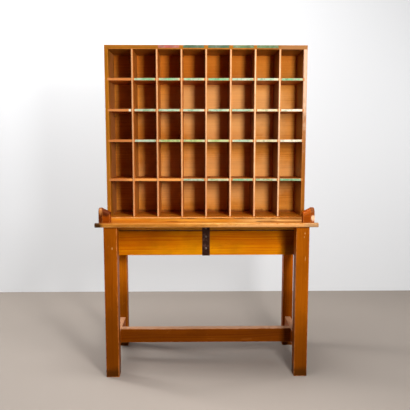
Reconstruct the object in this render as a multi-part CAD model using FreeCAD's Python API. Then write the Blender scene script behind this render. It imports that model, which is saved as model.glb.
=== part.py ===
import FreeCAD
import Part
import os

os.makedirs("parts", exist_ok=True)

# A pigeonhole sorting cabinet that stands on a four-legged table with an open work surface in front.
# Millimetres. The front faces -Y, the floor is at Z = 0 and the origin is under the middle of the tabletop.

# Pigeonholes
column_count = 8
cell_width = 112.0
bottom_row_height = 180.0
lower_row_height = 183.0
upper_row_height = 138.5
upper_row_count = 3
cabinet_depth = 205.0

# Cabinet boards
divider_thick = 9.5
shelf_thick = 12.0
side_thick = 18.0
top_board_thick = 20.0
bottom_board_thick = 5.0
back_thick = 8.0
board_arris = 0.8

# Housings and halvings between the cabinet boards
side_housing = 6.0
top_housing = 6.0
divider_top_groove = 5.0
divider_bottom_groove = 2.0
back_side_lap = 9.0
back_top_lap = 8.0
stopped_front = 12.0
halving_depth = 98.0
dado_clearance = 0.2
halving_clearance = 0.2

# Tabletop, glued up from a narrow front board and equal boards behind it, with a nosing along the front
work_depth = 210.0
rear_margin = 75.0
top_height = 760.0
top_thick = 20.0
nosing_width = 20.0
nosing_end = 18.0
front_board_width = 44.0
rear_board_count = 4
nosing_radius = 7.0
joint_arris = 1.2

# Cheeks at the ends of the work surface, and the blocks in their front corners
cheek_thick = 18.0
cheek_outset = 8.75
cheek_setback = 8.0
cheek_front_height = 78.0
cheek_rear_height = 32.0
cheek_nose_radius = 24.0
cheek_arris = 3.0
block_width = 36.0
block_depth = 40.0
block_height = 36.0
block_arris = 3.0

# Legs
front_leg_section = 63.0
rear_leg_section = 54.0
leg_arris = 2.5
leg_end_overhang = 19.0
leg_front_overhang = 22.0
leg_rear_overhang = 4.0

# Rails under the top: one at each end, and a two-board apron between them at mid depth
side_rail_thick = 24.0
side_rail_setback = 2.0
apron_thick = 24.0
apron_upper_height = 52.0
apron_lower_height = 128.0
apron_joint = 2.0
apron_housing = 8.0
rail_arris = 1.5

# Stretchers
side_stretcher_thick = 34.0
long_stretcher_thick = 40.0
stretcher_height = 74.0
stretcher_above_floor = 92.0
stretcher_arris = 2.5

# Mortise and tenon joints
rail_tenon_thick = 10.0
stretcher_tenon_thick = 14.0
leg_tenon_length = 32.0
long_tenon_length = 20.0
rail_shoulder = 26.0
stretcher_shoulder = 11.0
mortise_clearance = 1.0

# Steel tie strap across both apron boards, with its screws
strap_width = 39.0
strap_thick = 3.0
strap_top_gap = 2.0
strap_overhang = 3.0
strap_corner = 2.0
strap_edge = 0.6
screw_head_radius = 5.5
screw_head_height = 2.4
screw_shank_radius = 2.2
screw_length = 20.0
screw_clearance = 0.15
upper_screw_drop = 41.0
middle_screw_drop = 31.0
lower_screw_drop = 92.0

# Plan of the cabinet and the tabletop
divider_count = column_count - 1
cell_pitch = cell_width + divider_thick
inner_half = (column_count * cell_width + divider_count * divider_thick) / 2
cabinet_half = inner_half + side_thick
top_half = cabinet_half + cheek_outset
cheek_inner = top_half - cheek_thick
nosing_half = top_half + nosing_end
top_depth = work_depth + cabinet_depth + rear_margin
top_front = -top_depth / 2
top_rear = top_depth / 2
top_underside = top_height - top_thick
nosing_rear = top_front + nosing_width
rear_board_width = (top_rear - nosing_rear - front_board_width) / rear_board_count
cabinet_front = top_front + work_depth
cabinet_rear = cabinet_front + cabinet_depth
back_face = cabinet_rear - back_thick
halving_line = cabinet_front + halving_depth
tongue_front = cabinet_front + stopped_front
slot_half = (divider_thick + halving_clearance) / 2

# Plan of the leg frame
leg_outer = top_half - leg_end_overhang
front_leg_face = top_front + leg_front_overhang
rear_leg_face = top_rear - leg_rear_overhang - rear_leg_section
frame_front = front_leg_face + front_leg_section
frame_rear = rear_leg_face
frame_middle = (frame_front + frame_rear) / 2
rail_outer = leg_outer - side_rail_setback
rail_inner = rail_outer - side_rail_thick
rail_centre = rail_outer - side_rail_thick / 2
stretcher_centre = leg_outer - rear_leg_section / 2
stretcher_inner = stretcher_centre - side_stretcher_thick / 2
stretcher_outer = stretcher_centre + side_stretcher_thick / 2
apron_front = frame_middle - apron_thick / 2
apron_rear = frame_middle + apron_thick / 2
strap_front = apron_front - strap_thick

# Joint lines of the tabletop boards, from the nosing to the rear edge
top_joints = [nosing_rear]
for board_width in [front_board_width] + [rear_board_width] * rear_board_count:
    top_joints.append(top_joints[-1] + board_width)

# Levels of the table
apron_upper_low = top_underside - apron_upper_height
apron_lower_high = apron_upper_low - apron_joint
apron_low = apron_lower_high - apron_lower_height
stretcher_high = stretcher_above_floor + stretcher_height

# Levels of the cabinet: the undersides of the shelves, from the lowest upwards
floor_level = top_height + bottom_board_thick
row_heights = [bottom_row_height, lower_row_height] + [upper_row_height] * upper_row_count
shelf_levels = []
ceiling_level = floor_level
for row_height in row_heights:
    if ceiling_level > floor_level:
        shelf_levels.append(ceiling_level)
        ceiling_level = ceiling_level + shelf_thick
    ceiling_level = ceiling_level + row_height
cabinet_top = ceiling_level + top_board_thick
divider_centres = []
for number in range(1, column_count):
    divider_centres.append(cell_pitch * number - divider_thick / 2 - inner_half)

ORIGIN = FreeCAD.Vector(0, 0, 0)
X_AXIS = FreeCAD.Vector(1, 0, 0)
Y_AXIS = FreeCAD.Vector(0, 1, 0)
Z_AXIS = FreeCAD.Vector(0, 0, 1)
SAME_PLACE = 0.001


def board(x_low, x_high, y_low, y_high, z_low, z_high):
    corner = FreeCAD.Vector(x_low, y_low, z_low)
    return Part.makeBox(x_high - x_low, y_high - y_low, z_high - z_low, corner)


def edges_along(shape, axis):
    found = []
    for edge in shape.Edges:
        run = edge.Vertexes[-1].Point - edge.Vertexes[0].Point
        if run.Length > SAME_PLACE and run.cross(axis).Length < SAME_PLACE:
            found.append(edge)
    return found


def edges_near(shape, axis, point, reach):
    # Edges along the axis whose line passes within reach of the point
    found = []
    for edge in edges_along(shape, axis):
        away = (edge.CenterOfMass - point).cross(axis)
        if away.Length < reach:
            found.append(edge)
    return found


def eased(shape, axis, size):
    return shape.makeChamfer(size, edges_along(shape, axis))


def mirrored(shape):
    return shape.mirror(ORIGIN, X_AXIS)


def save(name, shape):
    shape.exportStep("parts/" + name + ".step")


def save_pair(name, left_shape):
    save(name + "_left", left_shape)
    save(name + "_right", mirrored(left_shape))


def cabinet_side():
    # Left side: dadoes for the shelves, a rebate for the back and a stopped tongue under the top board
    outer = -cabinet_half
    inner = -inner_half
    housed = inner - side_housing
    plank = board(outer, inner, cabinet_front, cabinet_rear, top_height, ceiling_level)
    plank = eased(plank, Z_AXIS, board_arris)
    tongue_outer = outer + board_arris
    tongue = board(tongue_outer, inner, tongue_front, back_face, ceiling_level, ceiling_level + top_housing)
    cuts = [board(housed, inner, tongue_front, back_face, top_height, floor_level)]
    for level in shelf_levels:
        dado_high = level + shelf_thick + dado_clearance
        cuts.append(board(housed, inner, cabinet_front, back_face, level, dado_high))
    cuts.append(board(inner - back_side_lap, inner, back_face, cabinet_rear, top_height, ceiling_level))
    return plank.fuse(tongue).removeSplitter().cut(cuts)


def cabinet_top_board():
    # Stopped housings for the sides, stopped grooves for the dividers and a rebate for the back
    plank = board(-cabinet_half, cabinet_half, cabinet_front, cabinet_rear, ceiling_level, cabinet_top)
    plank = eased(plank, X_AXIS, board_arris)
    housing = board(
        -cabinet_half + board_arris,
        -inner_half,
        tongue_front,
        back_face,
        ceiling_level,
        ceiling_level + top_housing,
    )
    lap_half = inner_half + back_side_lap
    rebate_top = ceiling_level + back_top_lap
    cuts = [housing, mirrored(housing)]
    cuts.append(board(-lap_half, lap_half, back_face, cabinet_rear, ceiling_level, rebate_top))
    groove_top = ceiling_level + divider_top_groove
    for x in divider_centres:
        cuts.append(board(x - slot_half, x + slot_half, tongue_front, back_face, ceiling_level, groove_top))
    return plank.cut(cuts)


def cabinet_bottom_board():
    # Stub ends stopped behind the front edge, and a groove under each divider
    end_half = inner_half + side_housing
    plank = board(-inner_half, inner_half, cabinet_front, back_face, top_height, floor_level)
    ends = board(-end_half, end_half, tongue_front, back_face, top_height, floor_level)
    groove_low = floor_level - divider_bottom_groove
    cuts = []
    for x in divider_centres:
        cuts.append(board(x - slot_half, x + slot_half, tongue_front, back_face, groove_low, floor_level))
    return plank.fuse(ends).removeSplitter().cut(cuts)


def shelf(level):
    # Notched from the front, so that the dividers run past it unbroken
    half = inner_half + side_housing
    high = level + shelf_thick
    plank = board(-half, half, cabinet_front, back_face, level, high)
    cuts = []
    for x in divider_centres:
        cuts.append(board(x - slot_half, x + slot_half, cabinet_front, halving_line, level, high))
    return plank.cut(cuts)


def divider(x):
    # Notched from the back to straddle every shelf, with a stopped tongue at each end
    low = x - divider_thick / 2
    high = x + divider_thick / 2
    tongue_low = floor_level - divider_bottom_groove
    tongue_high = ceiling_level + divider_top_groove
    plank = board(low, high, cabinet_front, back_face, floor_level, ceiling_level)
    tongues = board(low, high, tongue_front, back_face, tongue_low, tongue_high)
    cuts = []
    for level in shelf_levels:
        notch_high = level + shelf_thick + halving_clearance
        cuts.append(board(low, high, halving_line, back_face, level, notch_high))
    return plank.fuse(tongues).removeSplitter().cut(cuts)


def cabinet_back():
    half = inner_half + back_side_lap
    return board(-half, half, back_face, cabinet_rear, top_height, ceiling_level + back_top_lap)


def cheek():
    # Left cheek: a tapered board with a rounded nose, flush with the end of the tabletop and butted
    # against the front edge of the cabinet side
    front = top_front + cheek_setback
    foot = FreeCAD.Vector(-top_half, front, top_height)
    peak = FreeCAD.Vector(-top_half, front, top_height + cheek_front_height)
    tail = FreeCAD.Vector(-top_half, cabinet_front, top_height + cheek_rear_height)
    heel = FreeCAD.Vector(-top_half, cabinet_front, top_height)
    outline = Part.makePolygon([foot, peak, tail, heel, foot])
    plank = Part.Face(outline).extrude(X_AXIS * cheek_thick)
    plank = plank.makeFillet(cheek_nose_radius, edges_near(plank, X_AXIS, peak, board_arris))
    return eased(plank, (tail - peak).normalize(), cheek_arris)


def corner_block():
    # Left block: glued down in the corner between the cheek and the front edge
    outer = -cheek_inner
    inner = outer + block_width
    front = top_front + cheek_setback
    high = top_height + block_height
    body = board(outer, inner, front, front + block_depth, top_height, high)
    rim = edges_near(body, Y_AXIS, FreeCAD.Vector(inner, front, high), block_arris)
    return body.makeChamfer(block_arris, rim)


def tabletop_nosing():
    # Strip along the front edge, longer than the boards, with a rounded front
    strip = board(-nosing_half, nosing_half, top_front, nosing_rear, top_underside, top_height)
    nose = edges_near(strip, X_AXIS, FreeCAD.Vector(0, top_front, top_height), joint_arris)
    nose = nose + edges_near(strip, X_AXIS, FreeCAD.Vector(0, top_front, top_underside), joint_arris)
    return strip.makeFillet(nosing_radius, nose)


def tabletop_board(front, rear):
    plank = board(-top_half, top_half, front, rear, top_underside, top_height)
    joints = edges_near(plank, X_AXIS, FreeCAD.Vector(0, front, top_height), joint_arris)
    joints = joints + edges_near(plank, X_AXIS, FreeCAD.Vector(0, rear, top_height), joint_arris)
    return plank.makeChamfer(joint_arris, joints)


def side_rail_tenons(end_room):
    # One bar through the rail: its two ends are the tenons
    front = frame_front - leg_tenon_length - end_room
    rear = frame_rear + leg_tenon_length + end_room
    outer = -rail_centre - rail_tenon_thick / 2
    inner = -rail_centre + rail_tenon_thick / 2
    return board(outer, inner, front, rear, apron_low + rail_shoulder, top_underside - rail_shoulder)


def side_stretcher_tenons(end_room):
    front = frame_front - leg_tenon_length - end_room
    rear = frame_rear + leg_tenon_length + end_room
    outer = -stretcher_centre - stretcher_tenon_thick / 2
    inner = -stretcher_centre + stretcher_tenon_thick / 2
    low = stretcher_above_floor + stretcher_shoulder
    return board(outer, inner, front, rear, low, stretcher_high - stretcher_shoulder)


def long_stretcher_tenons(end_room):
    half = stretcher_inner + long_tenon_length + end_room
    front = frame_middle - stretcher_tenon_thick / 2
    rear = frame_middle + stretcher_tenon_thick / 2
    low = stretcher_above_floor + stretcher_shoulder
    return board(-half, half, front, rear, low, stretcher_high - stretcher_shoulder)


def leg(face, section):
    # Left leg with blind mortises for the side rail and the side stretcher
    post = board(-leg_outer, section - leg_outer, face, face + section, 0, top_underside)
    post = eased(post, Z_AXIS, leg_arris)
    return post.cut([side_rail_tenons(mortise_clearance), side_stretcher_tenons(mortise_clearance)])


def side_rail():
    # Left rail, housed on its inner face for both apron boards
    body = board(-rail_outer, -rail_inner, frame_front, frame_rear, apron_low, top_underside)
    housed = -rail_inner - apron_housing
    housing = board(housed, -rail_inner, apron_front, apron_rear, apron_low, top_underside)
    return body.fuse(side_rail_tenons(0)).removeSplitter().cut(housing)


def apron_board(low, high, eased_level):
    half = rail_inner + apron_housing
    body = board(-half, half, apron_front, apron_rear, low, high)
    arris = edges_near(body, X_AXIS, FreeCAD.Vector(0, apron_front, eased_level), rail_arris)
    return body.makeChamfer(rail_arris, arris)


def side_stretcher():
    # Left stretcher, mortised at its middle for the long stretcher
    low = stretcher_above_floor
    body = board(-stretcher_outer, -stretcher_inner, frame_front, frame_rear, low, stretcher_high)
    body = eased(body, Y_AXIS, stretcher_arris)
    return body.fuse(side_stretcher_tenons(0)).removeSplitter().cut(long_stretcher_tenons(mortise_clearance))


def long_stretcher():
    front = frame_middle - long_stretcher_thick / 2
    rear = frame_middle + long_stretcher_thick / 2
    body = board(-stretcher_inner, stretcher_inner, front, rear, stretcher_above_floor, stretcher_high)
    body = eased(body, X_AXIS, stretcher_arris)
    return body.fuse(long_stretcher_tenons(0)).removeSplitter()


screw_levels = [
    top_underside - upper_screw_drop,
    apron_lower_high - middle_screw_drop,
    apron_lower_high - lower_screw_drop,
]


def screw_shank(level, radius):
    start = FreeCAD.Vector(0, strap_front, level)
    return Part.makeCylinder(radius, screw_length, start, Y_AXIS)


def screw_holes():
    return [screw_shank(level, screw_shank_radius + screw_clearance) for level in screw_levels]


def tie_strap():
    low = apron_low - strap_overhang
    high = top_underside - strap_top_gap
    half = strap_width / 2
    bar = board(-half, half, strap_front, apron_front, low, high)
    bar = eased(bar, Y_AXIS, strap_corner)
    front_edges = []
    for edge in bar.Edges:
        if abs(edge.CenterOfMass.y - strap_front) < strap_edge:
            front_edges.append(edge)
    return bar.makeChamfer(strap_edge, front_edges).cut(screw_holes())


def strap_screw(level):
    # Round-headed screw: a shallow dome on a flat rim, seated on the strap
    dome_radius = (screw_head_radius ** 2 + screw_head_height ** 2) / (2 * screw_head_height)
    seat = FreeCAD.Vector(0, strap_front, level)
    ball = Part.makeSphere(dome_radius, seat + Y_AXIS * (dome_radius - screw_head_height))
    collar = Part.makeCylinder(screw_head_radius, screw_head_height, seat, -Y_AXIS)
    return ball.common(collar).fuse(screw_shank(level, screw_shank_radius)).removeSplitter()


save_pair("cabinet_side", cabinet_side())
save("cabinet_top", cabinet_top_board())
save("cabinet_bottom", cabinet_bottom_board())
save("cabinet_back", cabinet_back())
for number, level in enumerate(reversed(shelf_levels), 1):
    save("shelf_" + str(number), shelf(level))
for number, x in enumerate(divider_centres, 1):
    save("divider_" + str(number), divider(x))

save_pair("cheek", cheek())
save_pair("corner_block", corner_block())

save("tabletop_nosing", tabletop_nosing())
for number, (front, rear) in enumerate(zip(top_joints, top_joints[1:]), 1):
    save("tabletop_board_" + str(number), tabletop_board(front, rear))

save_pair("leg_front", leg(front_leg_face, front_leg_section))
save_pair("leg_rear", leg(rear_leg_face, rear_leg_section))
save_pair("side_rail", side_rail())
save("apron_upper", apron_board(apron_upper_low, top_underside, apron_upper_low).cut(screw_holes()))
save("apron_lower", apron_board(apron_low, apron_lower_high, apron_lower_high).cut(screw_holes()))
save_pair("side_stretcher", side_stretcher())
save("long_stretcher", long_stretcher())
save("tie_strap", tie_strap())
save("strap_screws", Part.makeCompound([strap_screw(level) for level in screw_levels]))
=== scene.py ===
# %% [markdown]
# # A sorting shelf in amber varnish
#
# The real object is a cabinet of pigeonholes that stands on a four-legged table. All of its boards
# come from the CAD frame, so this lesson adds what CAD leaves out: the varnish and grain of every
# board, worn edges, rust, slotted screws, small pins, sloped corner blocks and paper labels. The frame
# is loaded first, and its box is kept.

# %% Load the frame
import math
import random

import bmesh
import bpy
from mathutils import Matrix, Vector


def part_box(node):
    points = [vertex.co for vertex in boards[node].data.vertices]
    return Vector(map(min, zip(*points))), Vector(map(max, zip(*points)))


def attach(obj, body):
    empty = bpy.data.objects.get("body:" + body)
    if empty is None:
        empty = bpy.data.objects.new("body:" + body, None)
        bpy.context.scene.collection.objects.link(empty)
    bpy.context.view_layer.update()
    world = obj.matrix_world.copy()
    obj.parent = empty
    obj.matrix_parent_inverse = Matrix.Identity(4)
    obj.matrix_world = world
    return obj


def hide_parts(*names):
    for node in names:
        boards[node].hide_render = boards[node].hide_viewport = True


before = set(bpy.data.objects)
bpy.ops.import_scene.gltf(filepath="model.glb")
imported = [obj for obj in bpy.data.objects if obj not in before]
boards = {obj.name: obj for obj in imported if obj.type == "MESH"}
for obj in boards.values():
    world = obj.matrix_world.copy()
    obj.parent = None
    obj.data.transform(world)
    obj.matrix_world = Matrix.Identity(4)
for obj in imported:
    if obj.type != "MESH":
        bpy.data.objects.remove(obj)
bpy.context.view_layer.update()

# %% [markdown]
# ## The camera
#
# A photograph taken from chest height looks slightly down on the table. The focal length is known
# in pixels of the square picture, so it is turned into millimetres on Blender's 36 mm sensor. The
# camera could be pointed with a constraint, but plain angles say more clearly how it is held.

# %% Camera at the viewing angle
picture_px = 410
focal_px = 535
sensor_mm = 36.0
camera_place = Vector((-0.047, -2.726, 1.131))
camera_tilt_down = math.radians(6.53)
camera_turn_right = math.radians(0.88)

camera_data = bpy.data.cameras.new("photo_camera")
camera_data.sensor_width = sensor_mm
camera_data.lens = focal_px / picture_px * sensor_mm
camera = bpy.data.objects.new("photo_camera", camera_data)
camera.location = camera_place
camera.rotation_euler = (math.pi / 2 - camera_tilt_down, 0, -camera_turn_right)
bpy.context.scene.collection.objects.link(camera)
bpy.context.scene.camera = camera
print("lens:", round(camera_data.lens, 2), "mm")

# %% [markdown]
# ## Helpers for materials
#
# Colours are easiest to judge as the screen shows them, from 0 to 255, while shaders work with
# linear light. One small function turns one into the other, by the curve of the sRGB standard. The
# other helpers make nodes and groups, and set several sockets at once, so that each recipe below
# stays short enough to read. A Mix node has sockets of the same name for each kind of data, so its
# colour sockets can't be found by name and are picked by number.


# %% Colour helper
def screen_colour(red, green, blue):
    linear = []
    for channel in (red, green, blue):
        value = channel / 255
        linear.append(value / 12.92 if value <= 0.04045 else ((value + 0.055) / 1.055) ** 2.4)
    return (*linear, 1.0)


print("mid grey as linear light:", round(screen_colour(128, 128, 128)[0], 3))

# %% Node helpers
mix_first, mix_second, mix_result = 6, 7, 2


def feed(tree, socket, value):
    if isinstance(value, bpy.types.NodeSocket):
        tree.links.new(value, socket)
    else:
        socket.default_value = value


def add_node(tree, kind, settings=None, **sockets):
    node = tree.nodes.new(kind)
    for name, value in (settings or {}).items():
        setattr(node, name, value)
    for name, value in sockets.items():
        feed(tree, node.inputs[name.replace("_", " ")], value)
    return node


def maths(tree, operation, first, second=0.0, clamp=False):
    node = tree.nodes.new("ShaderNodeMath")
    node.operation = operation
    node.use_clamp = clamp
    feed(tree, node.inputs[0], first)
    feed(tree, node.inputs[1], second)
    return node.outputs[0]


def vector_maths(tree, operation, first, second):
    node = tree.nodes.new("ShaderNodeVectorMath")
    node.operation = operation
    feed(tree, node.inputs[0], first)
    feed(tree, node.inputs[1], second)
    return node.outputs[0]


def vector_length(tree, vector):
    return add_node(tree, "ShaderNodeVectorMath", {"operation": "LENGTH"}, Vector=vector).outputs["Value"]


def remap(tree, value, low, high, new_low=0.0, new_high=1.0):
    node = add_node(tree, "ShaderNodeMapRange", {"interpolation_type": "SMOOTHSTEP"}, Value=value,
                    From_Min=low, From_Max=high, To_Min=new_low, To_Max=new_high)
    return node.outputs["Result"]


def mix_colour(tree, factor, first, second, blend="MIX"):
    node = add_node(tree, "ShaderNodeMix", {"data_type": "RGBA", "blend_type": blend}, Factor=factor)
    feed(tree, node.inputs[mix_first], first)
    feed(tree, node.inputs[mix_second], second)
    return node.outputs[mix_result]


def stretched_noise(tree, vector, stretch, scale=1.0, detail=3.0, roughness=0.55):
    shaped = vector_maths(tree, "MULTIPLY", vector, stretch)
    node = add_node(tree, "ShaderNodeTexNoise", Vector=shaped, Scale=scale, Detail=detail,
                    Roughness=roughness)
    return node.outputs["Fac"]


print("node helpers ready")

# %% Group helpers
FLOAT, COLOUR, VECTOR = "NodeSocketFloat", "NodeSocketColor", "NodeSocketVector"


def new_group(name, inputs, outputs):
    tree = bpy.data.node_groups.new(name, "ShaderNodeTree")
    for socket_name, socket_type, default in inputs:
        socket = tree.interface.new_socket(socket_name, in_out="INPUT", socket_type=socket_type)
        if default is not None:
            socket.default_value = default
    for socket_name, socket_type in outputs:
        tree.interface.new_socket(socket_name, in_out="OUTPUT", socket_type=socket_type)
    start = tree.nodes.new("NodeGroupInput").outputs
    end = tree.nodes.new("NodeGroupOutput").inputs
    return tree, start, end


def place_group(tree, group, **sockets):
    return add_node(tree, "ShaderNodeGroup", {"node_tree": group}, **sockets).outputs


print("group helpers ready")

# %% [markdown]
# ## Grain
#
# A board is a slice out of a trunk, so its figure is one solid pattern: year rings round the pith,
# seen as long lines on the faces and as arcs on the end grain. A wave texture would draw them at even
# spacing, which no tree does, so the distance from the pith is fed to one-dimensional noise instead:
# good and bad years follow each other at random. Wide noise bends the rings and lets them fade, and
# stretched noise adds streaks, fibres and dark pores. The group's own X axis is the grain direction.
# A band, here and below, is a pair of values between which noise turns softly from off to on.

# %% Timber grain: bent year rings
sway_stretch = (0.7, 5.0, 5.0)
no_sway = (0.5, 0.5, 0.5)
ring_stretch = (0.015, 1.0, 1.0)

grain, start, end = new_group(
    "Timber grain",
    [("Vector", VECTOR, None), ("Pale", COLOUR, None), ("Deep", COLOUR, None), ("Rings", FLOAT, 150.0),
     ("Sway", FLOAT, 0.07), ("Contrast", FLOAT, 1.0)],
    [("Color", COLOUR), ("Height", FLOAT), ("Sheen", FLOAT)],
)
in_trunk = start["Vector"]
sway_place = vector_maths(grain, "MULTIPLY", in_trunk, sway_stretch)
sway = add_node(grain, "ShaderNodeTexNoise", Vector=sway_place, Scale=1.0, Detail=3.0)
sway_offset = vector_maths(grain, "SUBTRACT", sway.outputs["Color"], no_sway)
sway_scaled = add_node(grain, "ShaderNodeVectorMath", {"operation": "SCALE"}, Vector=sway_offset,
                       Scale=start["Sway"])
bent = vector_maths(grain, "ADD", in_trunk, sway_scaled.outputs[0])
from_pith = vector_length(grain, vector_maths(grain, "MULTIPLY", bent, ring_stretch))
years = add_node(grain, "ShaderNodeTexNoise", {"noise_dimensions": "1D"}, Scale=1.0, Detail=3.0,
                 Roughness=0.6, W=maths(grain, "MULTIPLY", from_pith, start["Rings"]))
print("rings:", len(grain.nodes), "nodes")

# %% Timber grain: figure and pores
streak_stretch = (0.5, 24.0, 24.0)
fibre_stretch = (4.0, 190.0, 190.0)
pore_stretch = (30.0, 900.0, 900.0)
blotch_stretch = (2.2, 5.5, 5.5)
late_wood_band, pore_band, layer_band = (0.40, 0.64), (0.60, 0.72), (0.30, 0.70)
ring_fade_band, most_faded = (0.25, 0.65), 0.25
late_wood_share, streak_share, fibre_share, blotch_share = 0.45, 0.35, 0.22, 0.40
kept_pale = 0.25
pore_share, fibre_height = 0.30, 0.5
pore_brown = screen_colour(62, 24, 6)

blotch = stretched_noise(grain, in_trunk, blotch_stretch)
streak = stretched_noise(grain, in_trunk, streak_stretch)
fibre = stretched_noise(grain, in_trunk, fibre_stretch, detail=4.0, roughness=0.65)
pores = remap(grain, stretched_noise(grain, in_trunk, pore_stretch, detail=2.0), *pore_band)
ring_fade = remap(grain, blotch, *ring_fade_band, most_faded, 1.0)
late_wood = maths(grain, "MULTIPLY", remap(grain, years.outputs["Fac"], *late_wood_band), ring_fade)
depth = maths(grain, "MULTIPLY", late_wood, late_wood_share)
for layer, share in ((streak, streak_share), (fibre, fibre_share), (blotch, blotch_share)):
    depth = maths(grain, "ADD", depth, maths(grain, "MULTIPLY", remap(grain, layer, *layer_band), share))
depth = maths(grain, "SUBTRACT", depth, kept_pale)
depth = maths(grain, "MULTIPLY", depth, start["Contrast"], clamp=True)
figured = mix_colour(grain, depth, start["Pale"], start["Deep"])
pore_tint = maths(grain, "MULTIPLY", pores, pore_share)
feed(grain, end["Color"], mix_colour(grain, pore_tint, figured, pore_brown))
feed(grain, end["Height"], maths(grain, "SUBTRACT", maths(grain, "MULTIPLY", fibre, fibre_height), pores))
feed(grain, end["Sheen"], blotch)
print("group:", grain.name, len(grain.nodes), "nodes")

# %% [markdown]
# ## Worn edges
#
# Hands and letters rub the varnish off the arrises, so every edge is paler and duller than the face
# beside it. Mesh tricks could find the edges, but these boards are straight, and a board's own box
# says where its edges are: on a face, the nearest side is at distance zero, and the second nearest
# is the nearest edge. That second value is the median of three distances. Noise breaks it up. Thin
# boards that stand edge on, such as dividers, are rubbed along their front face as well. There the
# pale strip keeps clear of the two arrises, which stay dark as painted shade, as if the edges were rounded
# over.

# %% Edge wear group
everywhere = (1.0, 1.0, 1.0)
ragged_scale, ragged_band, reach_range = 38.0, (0.25, 0.75), (0.15, 1.9)
edge_fade = (0.25, 1.0)
front_skin = (0.0004, 0.0025)
broken_band, least_rubbed_share = (0.30, 0.55), 0.70
arris_shade_width = (0.0010, 0.0026)

wear, start, end = new_group(
    "Edge wear",
    [("Vector", VECTOR, None), ("Low", VECTOR, None), ("High", VECTOR, None), ("Width", FLOAT, 0.004),
     ("Amount", FLOAT, 0.7), ("Front", FLOAT, 0.0)],
    [("Mask", FLOAT)],
)
from_low = vector_maths(wear, "SUBTRACT", start["Vector"], start["Low"])
from_high = vector_maths(wear, "SUBTRACT", start["High"], start["Vector"])
to_sides = vector_maths(wear, "MINIMUM", from_low, from_high)
nearest = add_node(wear, "ShaderNodeSeparateXYZ", Vector=to_sides).outputs
lesser = maths(wear, "MINIMUM", nearest["X"], nearest["Y"])
greater = maths(wear, "MAXIMUM", nearest["X"], nearest["Y"])
to_edge = maths(wear, "MAXIMUM", lesser, maths(wear, "MINIMUM", greater, nearest["Z"]))
ragged = stretched_noise(wear, start["Vector"], everywhere, ragged_scale, detail=4.0, roughness=0.7)
reach = maths(wear, "MULTIPLY", start["Width"], remap(wear, ragged, *ragged_band, *reach_range))
edge_rub = remap(wear, maths(wear, "DIVIDE", to_edge, reach), *edge_fade, 1.0, 0.0)
edge_rub = maths(wear, "MULTIPLY", edge_rub, start["Amount"], clamp=True)
behind_front = add_node(wear, "ShaderNodeSeparateXYZ", Vector=from_low).outputs["Y"]
front_rub = remap(wear, behind_front, *front_skin, 1.0, 0.0)
broken = remap(wear, ragged, *broken_band, least_rubbed_share, 1.0)
# The two arrises kept dark here are painted shade.
clear_of_arris_shade = remap(wear, nearest["X"], *arris_shade_width)
for share in (broken, clear_of_arris_shade, start["Front"]):
    front_rub = maths(wear, "MULTIPLY", front_rub, share)
feed(wear, end["Mask"], maths(wear, "MAXIMUM", edge_rub, front_rub))
print("group:", wear.name, len(wear.nodes), "nodes")

# %% [markdown]
# ## Use and age
#
# Years of work leave dark grime in patches, small knocks and fine pale scratches. They could be
# painted on a texture, but noise in space gives each board its own marks for nothing. Grime is a
# soft mask for darkening, and scratches are the thin borders of long stretched cells.

# %% Age group
patch_stretch, patch_scale, patch_band = (0.7, 1.0, 1.0), 6.5, (0.46, 0.78)
speck_scale, speck_band = 85.0, (0.68, 0.76)
scratch_stretch, scratch_width = (6.0, 22.0, 22.0), 0.012
scratched_scale, scratched_band = 17.0, (0.55, 0.66)
dent_scale = 24.0

age, start, end = new_group(
    "Use and age",
    [("Vector", VECTOR, None), ("Grime", FLOAT, 0.4), ("Scratches", FLOAT, 0.4)],
    [("Grime", FLOAT), ("Scratches", FLOAT), ("Dents", FLOAT)],
)
patches = stretched_noise(age, start["Vector"], patch_stretch, patch_scale, detail=5.0, roughness=0.6)
specks = stretched_noise(age, start["Vector"], everywhere, speck_scale, detail=2.0, roughness=0.5)
grime = maths(age, "MAXIMUM", remap(age, patches, *patch_band), remap(age, specks, *speck_band))
feed(age, end["Grime"], maths(age, "MULTIPLY", grime, start["Grime"], clamp=True))
cell_place = vector_maths(age, "MULTIPLY", start["Vector"], scratch_stretch)
cells = add_node(age, "ShaderNodeTexVoronoi", {"feature": "DISTANCE_TO_EDGE"}, Vector=cell_place, Scale=1.0)
borders = remap(age, cells.outputs["Distance"], 0.0, scratch_width, 1.0, 0.0)
scratched = remap(age, stretched_noise(age, start["Vector"], everywhere, scratched_scale), *scratched_band)
scratches = maths(age, "MULTIPLY", borders, scratched)
feed(age, end["Scratches"], maths(age, "MULTIPLY", scratches, start["Scratches"], clamp=True))
feed(age, end["Dents"], stretched_noise(age, start["Vector"], everywhere, dent_scale, detail=2.0))
print("group:", age.name, len(age.nodes), "nodes")

# %% [markdown]
# ## Single marks
#
# Some marks have a place of their own: a chip out of a leg, a pale patch on the back, a stained
# end of the nosing. A small group makes one soft ellipsoid with a ragged border. A painted mask would
# do the same, but an ellipsoid can be written down and understood. A mark is four values: its centre,
# measured from the board's low corner, its three radii, its colour, and how strongly it covers.

# %% Single mark group
noise_middle, border_swing = 0.5, 1.4
border_fade = (0.45, 1.05)
border_lumps = 0.8

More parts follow.
